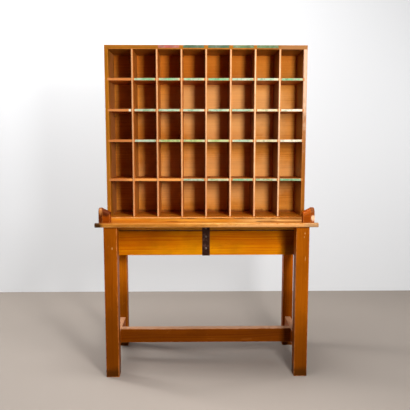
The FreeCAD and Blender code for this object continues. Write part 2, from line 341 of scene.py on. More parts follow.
mark, start, end = new_group(
    "Single mark",
    [("Vector", VECTOR, None), ("Centre", VECTOR, None), ("Radii", VECTOR, (0.1, 0.1, 0.1)),
     ("Ragged", FLOAT, 40.0), ("Amount", FLOAT, 1.0)],
    [("Mask", FLOAT)],
)
from_centre = vector_maths(mark, "SUBTRACT", start["Vector"], start["Centre"])
distance = vector_length(mark, vector_maths(mark, "DIVIDE", from_centre, start["Radii"]))
border = add_node(mark, "ShaderNodeTexNoise", Vector=start["Vector"], Scale=start["Ragged"], Detail=4.0,
                  Roughness=0.65).outputs["Fac"]
swing = maths(mark, "MULTIPLY", maths(mark, "SUBTRACT", border, noise_middle), border_swing)
covered = remap(mark, maths(mark, "ADD", distance, swing), *border_fade, 1.0, 0.0)
feed(mark, end["Mask"], maths(mark, "MULTIPLY", covered, start["Amount"], clamp=True))


def with_marks(tree, place, low, colour, marks):
    for from_corner, radii, tint, amount in marks:
        centre = [corner + step for corner, step in zip(low, from_corner)]
        middle_radius = sorted(radii)[1]
        spot = place_group(tree, mark, Vector=place, Centre=centre, Radii=radii, Amount=amount,
                           Ragged=border_lumps / middle_radius)
        colour = mix_colour(tree, spot["Mask"], colour, tint)
    return colour


print("group:", mark.name, len(mark.nodes), "nodes")

# %% [markdown]
# ## Varnished boards
#
# All boards share one recipe with different tones: grain, then grime and single marks, then scratches
# and worn edges, and last the late marks, which lie over the wear, all under a clear coat. One material
# for the whole shelf would make the figure run from board to board as if it were carved from one block,
# so every board gets its own material, with its own place in the tree and its grain along its own
# length. The Mapping node turns the grain. A seeded draw sets the place and may shift a tone a little.

# %% Places and tones
seed = 7
placing = random.Random(seed)
grain_turn = {"x": (0, 0, 0), "y": (0, 0, -math.pi / 2), "z": (0, math.pi / 2, 0)}
along_trunk, off_pith = (-3, 3), (0.12, 0.4)


def tone(red, green, blue, change=0.0):
    shift = 1 + placing.uniform(-change, change)
    return screen_colour(min(red * shift, 255), min(green * shift, 255), min(blue * shift, 255))


print("grain runs along", ", ".join(grain_turn))

# %% Varnish recipe
old_dirt = screen_colour(52, 18, 2)
amber_light = screen_colour(255, 192, 100)
dark_fibre_band, dark_fibre_share = (0.14, 0.32), 0.5
sheen_band, satin_range, worn_dulling = (0.2, 0.8), (0.36, 0.52), 0.25
coat_roughness = 0.16
fibre_relief, bump_strength, bump_distance = 0.4, 0.12, 0.002


def varnished_board(node_name, along, pale, deep, bare, edge_width=0.004, edge_amount=0.5,
                    front_amount=0.0, grime=0.3, scratches=0.3, contrast=1.0, gloss=0.1, coat=0.03,
                    single_marks=(), late_marks=(), box=None):
    material = bpy.data.materials.new("varnish_" + node_name)
    material.use_nodes = True
    tree = material.node_tree
    shader = tree.nodes["Principled BSDF"]
    place = add_node(tree, "ShaderNodeTexCoord").outputs["Object"]
    tree_place = (placing.uniform(*along_trunk), placing.uniform(*off_pith), placing.uniform(*off_pith))
    turned = add_node(tree, "ShaderNodeMapping", Vector=place, Rotation=grain_turn[along],
                      Location=tree_place).outputs[0]
    low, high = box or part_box(node_name)
    figure = place_group(tree, grain, Vector=turned, Pale=pale, Deep=deep, Contrast=contrast)
    rubbed = place_group(tree, wear, Vector=place, Low=low, High=high, Width=edge_width,
                         Amount=edge_amount, Front=front_amount)
    used = place_group(tree, age, Vector=turned, Grime=grime, Scratches=scratches)
    colour = mix_colour(tree, used["Grime"], figure["Color"], old_dirt)
    colour = with_marks(tree, place, low, colour, single_marks)
    colour = mix_colour(tree, used["Scratches"], colour, bare)
    dark_fibres = remap(tree, figure["Height"], *dark_fibre_band, dark_fibre_share, 0.0)
    worn_timber = mix_colour(tree, dark_fibres, bare, deep)
    colour = mix_colour(tree, rubbed["Mask"], colour, worn_timber)
    feed(tree, shader.inputs["Base Color"], with_marks(tree, place, low, colour, late_marks))
    satin = remap(tree, figure["Sheen"], *sheen_band, *satin_range)
    dull = maths(tree, "MAXIMUM", rubbed["Mask"], used["Grime"])
    duller = maths(tree, "MULTIPLY", dull, worn_dulling)
    feed(tree, shader.inputs["Roughness"], maths(tree, "ADD", satin, duller, clamp=True))
    shader.inputs["Specular IOR Level"].default_value = gloss
    shader.inputs["Specular Tint"].default_value = amber_light
    shader.inputs["Coat Weight"].default_value = coat
    shader.inputs["Coat Roughness"].default_value = coat_roughness
    relief = maths(tree, "ADD", maths(tree, "MULTIPLY", figure["Height"], fibre_relief), used["Dents"])
    bump = add_node(tree, "ShaderNodeBump", Strength=bump_strength, Distance=bump_distance, Height=relief)
    feed(tree, shader.inputs["Normal"], bump.outputs["Normal"])
    board = boards[node_name]
    board.data.materials.clear()
    board.data.materials.append(material)
    return material


print("varnish recipe ready")

# %% [markdown]
# ## Dressing the cabinet
#
# The case is amber. Its right side carries a painted highlight along the upper front edge, and painted
# shade darkens the front of the bottom board. The back panel is paler in its middle rows, darker in the
# top row and darker along its foot. A tone could be picked for each board by hand, but families of
# boards were cut and varnished together, so tones go by family.

# %% Case boards
amber_bare = screen_colour(206, 128, 60)
inner_face = screen_colour(176, 104, 54)
painted_highlight = screen_colour(208, 177, 152)
pale_corner = screen_colour(146, 102, 66)
painted_floor_shade = screen_colour(138, 72, 12)

varnished_board("cabinet_side_left", "z", tone(158, 98, 20), tone(130, 71, 8), amber_bare, edge_amount=0.4,
                single_marks=[((0.024, 0.13, 0.42), (0.02, 0.12, 0.9), inner_face, 0.9)])
# The pale mark high on the front of the right side is a painted highlight.
varnished_board("cabinet_side_right", "z", tone(146, 86, 14), tone(120, 62, 6), amber_bare,
                front_amount=0.05, gloss=0.3, coat=0.1,
                single_marks=[((0.013, 0.0, 0.80), (0.05, 0.02, 0.42), painted_highlight, 0.8)])
varnished_board("cabinet_top", "x", tone(160, 101, 32), tone(120, 66, 12), amber_bare, edge_amount=0.35,
                single_marks=[((0.94, 0.0, 0.01), (0.11, 0.05, 0.05), pale_corner, 0.7)])
# The dark mark along the front of the bottom board is painted shade, where the shelf above shades the
# floors.
varnished_board("cabinet_bottom", "x", tone(206, 120, 30), tone(158, 80, 12), amber_bare,
                late_marks=[((0.487, 0.0, 0.0025), (2.0, 0.06, 0.02), painted_floor_shade, 0.9)])
print("case dressed")

# %% Back panel
paler_back = screen_colour(224, 166, 104)
darker_top_row = screen_colour(176, 92, 18)
darker_foot = screen_colour(118, 64, 28)
skin_deep = 0.004

# The marks make the back paler in its middle rows, and darker in its top row and along its foot.
varnished_board("cabinet_back", "x", tone(208, 132, 50), tone(174, 98, 30), paler_back, edge_amount=0.0,
                grime=0.25, contrast=1.4, coat=0.0,
                single_marks=[((0.62, 0.0, 0.56), (0.46, skin_deep, 0.21), paler_back, 0.6),
                              ((0.58, 0.0, 0.18), (0.52, skin_deep, 0.18), paler_back, 0.45),
                              ((0.48, 0.0, 0.79), (0.90, skin_deep, 0.14), darker_top_row, 0.55),
                              ((0.48, 0.0, 0.0), (2.0, skin_deep, 0.020), darker_foot, 0.9)])
print("back panel dressed")

# %% [markdown]
# ## Dressing the grid
#
# Dividers and shelves are pale and pinkish along their front edges, where letters slide over them. The
# dividers grow paler towards the right, partly from wear and partly as a painted highlight from the light
# at the right. The left faces of the dividers carry painted shade. One stretch of the lowest shelf has no
# label and is brighter. A small seeded change of tone keeps neighbours apart, as two boards of one batch
# never match.

# %% Dividers and shelves
divider_count, shelf_count = 7, 4
# The front edges grow paler to the right: partly wear, partly a painted highlight near the light.
least_rubbed = screen_colour(196, 151, 108)
rubbed_and_highlit = screen_colour(226, 188, 146)
# The dark mark on each divider's left face is painted shade.
painted_side_shade = screen_colour(92, 38, 8)
shelf_bare = screen_colour(186, 124, 72)
bright_shelf = screen_colour(230, 160, 84)
unlabelled = {4: [((0.25, 0.0, 0.006), (0.20, 0.01, 0.02), bright_shelf, 0.7)]}

for number in range(1, divider_count + 1):
    use = (number - 1) / (divider_count - 1)
    rubbed_and_lit_edge = [least + (most - least) * use for least, most in zip(least_rubbed, rubbed_and_highlit)]
    varnished_board("divider_%d" % number, "z", tone(200, 116, 44, 0.04), tone(160, 78, 18, 0.04),
                    rubbed_and_lit_edge, edge_amount=0.12, front_amount=0.95, gloss=0.2,
                    single_marks=[((0.0, 0.10, 0.40), (0.004, 0.5, 2.0), painted_side_shade, 0.8)])
for number in range(1, shelf_count + 1):
    varnished_board("shelf_%d" % number, "x", tone(196, 106, 32, 0.04), tone(156, 70, 10, 0.04), shelf_bare,
                    front_amount=0.85, gloss=0.15, late_marks=unlabelled.get(number, ()))
print("grid dressed:", divider_count, "dividers,", shelf_count, "shelves")

# %% [markdown]
# ## Dressing the tabletop
#
# The tabletop is the brightest part, because it is worked on and wiped, most of all at the right. Black
# dirt has settled in short stretches of two joints. A thin dark line alone would look drawn, and a wide
# one like a hole, so each stretch is a thin core inside a soft brown stain, on both boards beside the
# joint. A stretch is written as its middle and half its length. The narrow front board is dirty at both
# ends, the boards grow darker towards the right cheek, partly with dirt and partly with a painted shadow of
# the cheek, and a pale strip runs along the foot of the cabinet.

# %% Dirt in the joints
wiped_top = screen_colour(212, 156, 90)
joint_stain = screen_colour(100, 52, 14)
worn_dirt = screen_colour(34, 14, 5)
stain_longer, stain_reach, stain_amount = 1.3, 0.034, 0.6
dirt_reach, dirt_depth = 0.015, 0.005
worn_right = ((0.92, 0.05, 0.02), (0.32, 0.4, 0.1), wiped_top, 0.7)
dirty_joints = (
    ("tabletop_board_1", "tabletop_board_2",
     ((-0.170, 0.040), (0.260, 0.030), (0.310, 0.030))),
    ("tabletop_board_2", "tabletop_board_3",
     ((-0.120, 0.010), (-0.078, 0.032), (0.056, 0.066), (0.173, 0.052),
      (0.267, 0.034), (0.332, 0.014), (0.388, 0.030), (0.432, 0.022))),
)

top_marks = {"tabletop_board_%d" % number: [worn_right] for number in range(1, 6)}
for front_board, rear_board, stretches in dirty_joints:
    for name, joint_side in ((front_board, 1), (rear_board, 0)):
        low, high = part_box(name)
        for middle, half_length in stretches:
            centre = (middle - low[0], (high[1] - low[1]) * joint_side, high[2] - low[2])
            stain_radii = (half_length * stain_longer, stain_reach, dirt_depth)
            dirt_radii = (half_length, dirt_reach, dirt_depth)
            top_marks[name].append((centre, stain_radii, joint_stain, stain_amount))
            top_marks[name].append((centre, dirt_radii, worn_dirt, 1.0))
print("marks in the joints:", {name: len(marks) - 1 for name, marks in top_marks.items()})

# %% Tabletop boards
joint_dirt = screen_colour(104, 52, 12)
dirty_front = screen_colour(150, 74, 4)
dirt_and_cheek_shadow = screen_colour(142, 82, 30)
pale_foot = screen_colour(242, 186, 122)

# The darker marks towards the right end are partly dirt and partly a painted shadow of the right cheek.
top_marks["tabletop_board_1"] += [((0.14, 0.02, 0.02), (0.46, 0.2, 0.1), dirty_front, 0.9),
                                  ((0.70, 0.0, 0.02), (0.36, 0.03, 0.01), dirt_and_cheek_shadow, 0.45),
                                  ((0.97, 0.02, 0.02), (0.2, 0.2, 0.1), dirt_and_cheek_shadow, 0.9)]
top_marks["tabletop_board_2"] += [((0.11, 0.02, 0.02), (0.24, 0.06, 0.02), dirty_front, 0.7),
                                  ((0.78, 0.075, 0.02), (0.26, 0.035, 0.01), dirt_and_cheek_shadow, 0.4),
                                  ((0.95, 0.08, 0.02), (0.12, 0.04, 0.01), dirt_and_cheek_shadow, 0.85)]
top_marks["tabletop_board_3"] += [((0.35, 0.034, 0.02), (0.5, 0.026, 0.01), pale_foot, 0.7),
                                  ((0.95, 0.0, 0.02), (0.12, 0.05, 0.01), dirt_and_cheek_shadow, 0.7)]
for name, marks in top_marks.items():
    varnished_board(name, "x", tone(216, 148, 54, 0.02), tone(184, 108, 22, 0.02), joint_dirt,
                    edge_width=0.008, edge_amount=0.8, grime=0.6, scratches=0.1, contrast=1.8,
                    single_marks=marks)
print("tabletop dressed:", len(top_marks), "boards")

# %% [markdown]
# ## Dressing the nosing
#
# The rounded strip at the front takes the most knocks. It is brown at the left, rubbed bare along its
# front at the right, stained nearly black at its left end and greyed at its right end. These marks came
# after the edges were worn, so they are late marks. Under the wear, they would be rubbed away again.

# %% Nosing
nosing_bare = screen_colour(234, 176, 112)
nosing_brown = screen_colour(146, 82, 16)
nosing_rubbed = screen_colour(214, 154, 94)
nosing_stain = screen_colour(44, 25, 12)
nosing_grey = screen_colour(150, 122, 92)

varnished_board("tabletop_nosing", "x", tone(212, 147, 68), tone(158, 92, 26), nosing_bare,
                edge_amount=0.55, grime=0.8, contrast=2.0,
                late_marks=[((0.14, 0.0, 0.02), (0.42, 0.05, 0.02), nosing_brown, 0.75),
                            ((0.86, 0.0, 0.006), (0.36, 0.014, 0.014), nosing_rubbed, 0.75),
                            ((0.0, 0.0, 0.008), (0.05, 0.05, 0.03), nosing_stain, 0.95),
                            ((1.045, 0.0, 0.01), (0.07, 0.05, 0.05), nosing_grey, 0.6)])
print("nosing dressed")

# %% [markdown]
# ## Dressing legs, rails and stretchers
#
# Legs and rails keep a deep orange. Legs carry painted shade that darkens them towards the floor, and
# scuffs at their feet, where mops and shoes reach them. The front ones are chipped, and the rear ones are
# painted brighter, as painted light. The upper faces of rails and stretchers are paler, partly with dust
# and partly with painted light from above. Those faces could be found by their normals, but a flat mark
# that just covers the top of the board does it with the tool at hand.

# %% Legs, side rails and side stretchers
worn_arris = screen_colour(214, 132, 70)
chip = screen_colour(206, 148, 84)
low_leg_shade = screen_colour(84, 36, 1)
scuffed_foot = screen_colour(56, 30, 8)
dust_and_top_light = screen_colour(209, 158, 121)
top_mark_depth, top_mark_amount = 0.004, 0.8
# The first mark is painted shade, darker towards the floor; the second is scuffing at the foot.
low_shade_and_scuffs = [((0.03, 0.03, 0.0), (0.5, 0.5, 0.42), low_leg_shade, 0.6),
               ((0.03, 0.03, 0.0), (0.2, 0.2, 0.06), scuffed_foot, 0.7)]
leg_chips = {
    "left": [((0.040, 0.0, 0.637), (0.003, 0.006, 0.007), chip, 0.9)],
    "right": [((0.041, 0.0, 0.708), (0.003, 0.010, 0.006), chip, 0.8),
              ((0.038, 0.0, 0.690), (0.002, 0.010, 0.005), chip, 0.7),
              ((0.045, 0.0, 0.585), (0.002, 0.010, 0.014), chip, 0.6)],
}
# The rear legs' tones are painted brighter than the front ones: painted light.
leg_tones_rear_lit = {
    "left": ((157, 79, 5), (129, 59, 2), (209, 117, 12), (172, 84, 5)),
    "right": ((168, 87, 5), (139, 65, 2), (200, 101, 4), (165, 72, 2)),
}


# The pale mark on the top is partly dust and partly painted light from above.
def dust_and_light_on_top(node_name):
    low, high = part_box(node_name)
    length, depth, height = (above - below for below, above in zip(low, high))
    return [((length / 2, depth / 2, height), (length, depth, top_mark_depth), dust_and_top_light, top_mark_amount)]


for side, (front_pale, front_deep, rear_pale_lit, rear_deep_lit) in leg_tones_rear_lit.items():
    varnished_board("leg_front_" + side, "z", tone(*front_pale, 0.02), tone(*front_deep, 0.02), worn_arris,
                    edge_amount=0.6, coat=0.0, single_marks=low_shade_and_scuffs + leg_chips[side])
    varnished_board("leg_rear_" + side, "z", tone(*rear_pale_lit, 0.02), tone(*rear_deep_lit, 0.02), amber_bare,
                    edge_width=0.003, edge_amount=0.45, coat=0.0, single_marks=low_shade_and_scuffs)
    for name in ("side_rail_" + side, "side_stretcher_" + side):
        varnished_board(name, "y", tone(170, 84, 8, 0.03), tone(136, 60, 2, 0.03), amber_bare, coat=0.0,
                        single_marks=dust_and_light_on_top(name))
print("legs, side rails and side stretchers dressed")

# %% [markdown]
# ## Dressing cheeks, corner blocks and apron
#
# The cheeks are the reddest boards. The nose of the left one is paler, and the right one is dark at the top
# of its nose and pale below. A corner block gets its finish here and its form later, so the recipe
# is told the box of that form. The apron is bright, with a dark line of dirt in the joint between its two
# boards. Its right end carries a painted shadow of the leg.

# %% Cheeks and corner blocks
cheek_pale = screen_colour(204, 136, 76)
cheek_dark = screen_colour(104, 64, 40)
cheek_lower_pale = screen_colour(236, 184, 144)
block_dark = screen_colour(78, 28, 8)
block_peak = 0.066
cheek_plan = {
    "left": ((100, 40, 8), (74, 24, 3),
             [((0.009, 0.0, 0.058), (0.010, 0.024, 0.022), cheek_pale, 0.5)]),
    "right": ((150, 68, 4), (124, 48, 2),
              [((0.009, 0.0, 0.066), (0.020, 0.030, 0.032), cheek_dark, 0.7),
               ((0.014, 0.0, 0.022), (0.016, 0.012, 0.020), cheek_lower_pale, 1.0)]),
}
block_plan = {
    "left": ((156, 68, 4), (122, 46, 2),
             [((0.014, 0.0, 0.062), (0.060, 0.10, 0.034), block_dark, 1.0)]),
    "right": ((150, 66, 4), (124, 48, 2), []),
}


def block_box(side):
    low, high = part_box("corner_block_" + side)
    return low, (high[0], high[1], low[2] + block_peak)


block_finish = {}
for side in ("left", "right"):
    pale, deep, marks = cheek_plan[side]
    varnished_board("cheek_" + side, "y", tone(*pale), tone(*deep), amber_bare, edge_amount=0.3,
                    single_marks=marks)
    pale, deep, marks = block_plan[side]
    block_finish[side] = varnished_board("corner_block_" + side, "x", tone(*pale), tone(*deep), amber_bare,
                                         edge_amount=0.3, single_marks=marks, box=block_box(side))
print("cheeks and corner blocks dressed")

# %% Apron and long stretcher
apron_dirt = screen_colour(66, 21, 4)
painted_leg_shadow = screen_colour(92, 34, 6)

varnished_board("apron_upper", "x", tone(244, 182, 66), tone(222, 138, 36), amber_bare, edge_amount=0.0,
                contrast=1.3, single_marks=[((0.47, 0.0, 0.0), (2.0, 0.03, 0.0035), apron_dirt, 0.6)])
# The dark mark at the right end of the lower board is a painted shadow of the right front leg.
varnished_board("apron_lower", "x", tone(222, 142, 3), tone(188, 90, 1), amber_bare, edge_amount=0.0,
                contrast=1.3, single_marks=[((0.47, 0.0, 0.128), (2.0, 0.03, 0.0045), apron_dirt, 0.7),
                                            ((0.930, 0.0, 0.08), (0.09, 0.03, 0.30), painted_leg_shadow, 0.7)])
varnished_board("long_stretcher", "x", tone(130, 63, 3), tone(102, 43, 1), amber_bare, edge_amount=0.4,
                single_marks=dust_and_light_on_top("long_stretcher"))
print("apron and long stretcher dressed")

# %% [markdown]
# ## Dark steel
#
# The tie strap is old strip steel with a dark skin and a little rust. A plain black would look like
# plastic, so the skin is broken by rust patches that are browner and rougher, and its edges are
# rubbed to metal. Screws and pins are the same steel with more bright metal on them.

# %% Steel recipe
rust_brown = screen_colour(66, 28, 10)
rust_scale, rust_spread = 60.0, 0.16
metal_edge, metal_amount = 0.0015, 0.5
clean_metallic, rust_metallic_loss = 0.8, 0.7
clean_roughness, rust_roughness_gain = 0.42, 0.35
rust_bump, rust_height = 0.3, 0.0006


def old_steel(name, skin, rubbed_metal, rust_low):
    material = bpy.data.materials.new(name)
    material.use_nodes = True
    tree = material.node_tree
    shader = tree.nodes["Principled BSDF"]
    place = add_node(tree, "ShaderNodeTexCoord").outputs["Object"]
    low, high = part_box("tie_strap")
    patches = stretched_noise(tree, place, everywhere, rust_scale, detail=5.0, roughness=0.65)
    rust = remap(tree, patches, rust_low, rust_low + rust_spread)
    rubbed = place_group(tree, wear, Vector=place, Low=low, High=high, Width=metal_edge,
                         Amount=metal_amount)
    colour = mix_colour(tree, rust, skin, rust_brown)
    feed(tree, shader.inputs["Base Color"], mix_colour(tree, rubbed["Mask"], colour, rubbed_metal))
    lost_metal = maths(tree, "MULTIPLY", rust, rust_metallic_loss)
    feed(tree, shader.inputs["Metallic"], maths(tree, "SUBTRACT", clean_metallic, lost_metal))
    roughened = maths(tree, "MULTIPLY", rust, rust_roughness_gain)
    feed(tree, shader.inputs["Roughness"], maths(tree, "ADD", clean_roughness, roughened))
    bump = add_node(tree, "ShaderNodeBump", Strength=rust_bump, Distance=rust_height, Height=rust)
    feed(tree, shader.inputs["Normal"], bump.outputs["Normal"])
    return material


strap_steel = old_steel("dark_strap_steel", screen_colour(46, 20, 6), screen_colour(92, 78, 66), 0.50)
screw_steel = old_steel("dull_screw_steel", screen_colour(112, 98, 86), screen_colour(150, 140, 128), 0.56)
boards["tie_strap"].data.materials.clear()
boards["tie_strap"].data.materials.append(strap_steel)
print("strap dressed")

# %% [markdown]
# ## Slotted screws
#
# Three slotted round-head screws hold the strap. A head is a flat dome: a sphere squashed along its
# axis and cut at its middle. For the slot, two cuts mark a band across the dome, and the band is pushed
# down to the slot's floor. A boolean cut would leave long thin faces there. The screws' places are read
# off the CAD screws, so that heads and holes agree.


# %% New piece helper
def new_piece(name, shape, material):
    bmesh.ops.recalc_face_normals(shape, faces=shape.faces)
    mesh = bpy.data.meshes.new(name)
    shape.to_mesh(mesh)
    shape.free()
    piece = bpy.data.objects.new(name, mesh)
    bpy.context.scene.collection.objects.link(piece)
    mesh.materials.append(material)
    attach(piece, "root")
    print("piece:", name, len(mesh.polygons), "faces")
    return piece


print("piece helper ready")


# %% Dome helper
def add_dome(shape, seat, outward, radius, height, around, rings):
    made = bmesh.ops.create_uvsphere(shape, u_segments=around, v_segments=rings, radius=1.0)["verts"]
    bmesh.ops.rotate(shape, verts=made, cent=(0, 0, 0), matrix=Matrix.Rotation(math.pi / 2, 3, "X"))
    bmesh.ops.scale(shape, verts=made, vec=(radius, height, radius))
    bmesh.ops.translate(shape, verts=made, vec=seat)
    faces = {face for vert in made for face in vert.link_faces}
    edges = {edge for vert in made for edge in vert.link_edges}
    cut = bmesh.ops.bisect_plane(shape, geom=[*made, *edges, *faces], plane_co=seat,
                                 plane_no=(0, outward, 0), clear_inner=True)
    return [item for item in cut["geom"] if item.is_valid]


print("dome helper ready")

# %% Screw levels
screw_low, screw_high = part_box("strap_screws")
same_screw = 0.005
screw_levels = []
screw_run = []
cad_screws = boards["strap_screws"]
for level in sorted((cad_screws.matrix_world @ vert.co).z for vert in cad_screws.data.vertices):
    if screw_run and level - screw_run[-1] > same_screw:
        screw_levels.append((screw_run[0] + screw_run[-1]) / 2)
        screw_run = []
    screw_run.append(level)
screw_levels.append((screw_run[0] + screw_run[-1]) / 2)
print("screws at heights", [round(level, 3) for level in screw_levels])

# %% Slotted screws
strap_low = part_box("tie_strap")[0]
head_radius = (screw_high[0] - screw_low[0]) / 2
head_height = strap_low[1] - screw_low[1]
head_around, head_rings = 32, 16
slot_half, slot_floor_share = 0.0007, 0.45
slot_floor = strap_low[1] - head_height * slot_floor_share

screws = bmesh.new()
for level in screw_levels:
    seat = Vector((0, strap_low[1], level))
    slot_turn = placing.uniform(0, math.pi)
    across = Vector((math.cos(slot_turn), 0, math.sin(slot_turn)))
    head = add_dome(screws, seat, -1, head_radius, head_height, head_around, head_rings)
    for side in (-1, 1):
        slot_wall = seat + across * slot_half * side
        head = bmesh.ops.bisect_plane(screws, geom=head, plane_co=slot_wall, plane_no=across)["geom"]
    band = [item for item in head if isinstance(item, bmesh.types.BMFace)
            and abs((item.calc_center_median() - seat).dot(across)) < slot_half]
    sunk = bmesh.ops.extrude_face_region(screws, geom=band)["geom"]
    bmesh.ops.delete(screws, geom=[face for face in band if face.is_valid], context="FACES")
    for item in sunk:
        if isinstance(item, bmesh.types.BMVert):
            item.co.y = max(item.co.y, slot_floor)
screw_piece = new_piece("slotted_screws", screws, screw_steel)
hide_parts("strap_screws")

# %% [markdown]
# ## Corner blocks
#
# In each front corner of the work surface a block is glued against the cheek. Its top slopes from the
# cheek down to its free side, and its front is rounded over like the nose of the cheek. The outline
# could be drawn and extruded, but a cube needs only two corners moved: the upper ones at the free
# side are lowered. Two bevels then make the round front and the eased edges.

# %% Sloped corner blocks
block_free_height = 0.050
block_nose, nose_segments = 0.016, 6
block_arris, arris_segments = 0.0015, 2
sharp_angle = math.radians(40)

for side, cheek_way in (("left", -1), ("right", 1)):
    low, high = block_box(side)
    middle = (Vector(low) + Vector(high)) / 2
    block = bmesh.new()
    bmesh.ops.create_cube(block, size=1.0)
    bmesh.ops.scale(block, verts=block.verts, vec=Vector(high) - Vector(low))
    bmesh.ops.translate(block, verts=block.verts, vec=middle)
    for vert in block.verts:
        if vert.co.z > middle.z and (vert.co.x - middle.x) * cheek_way < 0:
            vert.co.z = low[2] + block_free_height
    front_top = [edge for edge in block.edges
                 if all(vert.co.y < middle.y and vert.co.z > middle.z for vert in edge.verts)]
    bmesh.ops.bevel(block, geom=front_top, offset=block_nose, segments=nose_segments, profile=0.5,
                    affect="EDGES", material=-1)
    sharp = [edge for edge in block.edges if edge.calc_face_angle() > sharp_angle]
    bmesh.ops.bevel(block, geom=sharp, offset=block_arris, segments=arris_segments, profile=0.5,
                    affect="EDGES", material=-1)
    block_piece = new_piece("sloped_block_" + side, block, block_finish[side])
    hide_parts("corner_block_" + side)

# %% [markdown]
# ## Back pins
#
# Small pins hold the back panel to the dividers and to the case. A pin could be a nail with its shank,
# but only the head shows, and that is a flat dome like a screw's, without a slot. The rows stray a little,
# as they do when pins are driven by eye.

# %% Back pins
back_low, back_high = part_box("cabinet_back")
pin_radius, pin_height, pin_inset, pin_stray = 0.0024, 0.0009, 0.004, 0.006
pin_rows, pin_around, pin_rings = 6, 10, 6


def add_pin(x, z):
    add_dome(pins, Vector((x, back_high[1], z)), 1, pin_radius, pin_height, pin_around, pin_rings)


pins = bmesh.new()
upright_lines = []
for number in range(1, divider_count + 1):
    divider_low, divider_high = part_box("divider_%d" % number)
    upright_lines.append((divider_low[0] + divider_high[0]) / 2)
upright_lines += [back_low[0] + pin_inset, back_high[0] - pin_inset]
for x in upright_lines:
    for row in range(pin_rows):
        share = (row + 0.5) / pin_rows
        level = back_low[2] + (back_high[2] - back_low[2]) * share
        add_pin(x, level + placing.uniform(-pin_stray, pin_stray))
for x_low, x_high in zip(sorted(upright_lines), sorted(upright_lines)[1:]):
    for z in (back_low[2] + pin_inset, back_high[2] - pin_inset):
        add_pin((x_low + x_high) / 2, z)
new_piece("back_pins", pins, screw_steel)

# %% [markdown]
# ## Paper labels
#
# Strips of coloured paper are glued to the front edges of the shelves, one to a pigeonhole. They are
# bare here. A plane would have no edge that catches light, so a strip is a grid that is extruded by the
# thickness of paper, and its free end lifts a little. The plan below has one letter for each column,
# from the left, and a full stop where the timber is bare. The letters stand for red, dark, middle, green,
# pale, olive, lime, cream and white. An "s" is a scrap, the torn end of a strip.
# The tint goes into a colour attribute, so that one material serves all strips. The attribute's fourth
# value says how much a strip may fade: those on the top board fade little and stay dark, as painted shade.

# %% Paper material
tint_name = "label_tint"
faded_paper = screen_colour(186, 182, 162)
paper_stain = screen_colour(120, 88, 46)
smudge_filter = screen_colour(150, 176, 140)
fade_stretch, fade_scale, fade_band, most_fade = (1.0, 1.0, 0.4), 34.0, (0.48, 0.72), 0.55
stain_scale, stain_band, most_stain = 55.0, (0.58, 0.74), 0.5
smudge_stretch, smudge_scale, smudge_band, most_smudge = (1.0, 1.0, 1.6), 70.0, (0.46, 0.64), 0.7
paper_roughness, stain_roughness_gain = 0.62, 0.3
fuzz_scale, fuzz_bump, fuzz_height = 900.0, 0.15, 0.0003

paper = bpy.data.materials.new("label_paper")
paper.use_nodes = True
tree = paper.node_tree
shader = tree.nodes["Principled BSDF"]
place = add_node(tree, "ShaderNodeTexCoord").outputs["Object"]
tint = add_node(tree, "ShaderNodeAttribute", {"attribute_name": tint_name}).outputs
faded = remap(tree, stretched_noise(tree, place, fade_stretch, fade_scale), *fade_band, 0.0, most_fade)
faded = maths(tree, "MULTIPLY", faded, tint["Alpha"])
stained = stretched_noise(tree, place, everywhere, stain_scale, detail=4.0, roughness=0.65)
stained = remap(tree, stained, *stain_band, 0.0, most_stain)
smudged = stretched_noise(tree, place, smudge_stretch, smudge_scale, roughness=0.6)
smudged = remap(tree, smudged, *smudge_band, 0.0, most_smudge)
smudge = mix_colour(tree, 1.0, tint["Color"], smudge_filter, "MULTIPLY")
colour = mix_colour(tree, smudged, tint["Color"], smudge)
colour = mix_colour(tree, faded, colour, faded_paper)
feed(tree, shader.inputs["Base Color"], mix_colour(tree, stained, colour, paper_stain))
rougher = maths(tree, "MULTIPLY", stained, stain_roughness_gain)
feed(tree, shader.inputs["Roughness"], maths(tree, "ADD", paper_roughness, rougher))
fuzz = stretched_noise(tree, place, everywhere, fuzz_scale, detail=2.0)
bump = add_node(tree, "ShaderNodeBump", Strength=fuzz_bump, Distance=fuzz_height, Height=fuzz)
feed(tree, shader.inputs["Normal"], bump.outputs["Normal"])
print("paper ready:", len(tree.nodes), "nodes")

# %% Label plan
label_tints = {
    "r": screen_colour(150, 66, 52),
    "d": screen_colour(22, 68, 34),
    "m": screen_colour(66, 94, 48),
    "g": screen_colour(104, 158, 112),
    "p": screen_colour(146, 172, 142),
    "o": screen_colour(150, 168, 122),
    "l": screen_colour(154, 170, 100),
    "c": screen_colour(192, 182, 138),
    "w": screen_colour(220, 210, 184),
    "s": screen_colour(214, 206, 186),
}
# The white strips at the right end of the second and third shelves are a painted highlight.
label_plan = {
    "cabinet_top": "..rddmm.",
    "shelf_1": ".ggggppg",
    "shelf_2": "spppppcw",
    "shelf_3": ".plllpcw",
    "shelf_4": "...pogog",
}
dividers = ["divider_%d" % number for number in range(1, divider_count + 1)]
uprights = ["cabinet_side_left", *dividers, "cabinet_side_right"]
print("labels planned:", sum(letter != "." for row_plan in label_plan.values() for letter in row_plan))

# %% Strip helpers
sheet_half, sheet_columns, sheet_rows = 0.5, 14, 2
lift_from, lift_run = 0.35, 0.15
paper_thick = 0.0003
pale_reach = 0.25

labels = bmesh.new()
tint_layer = labels.loops.layers.float_color.new(tint_name)


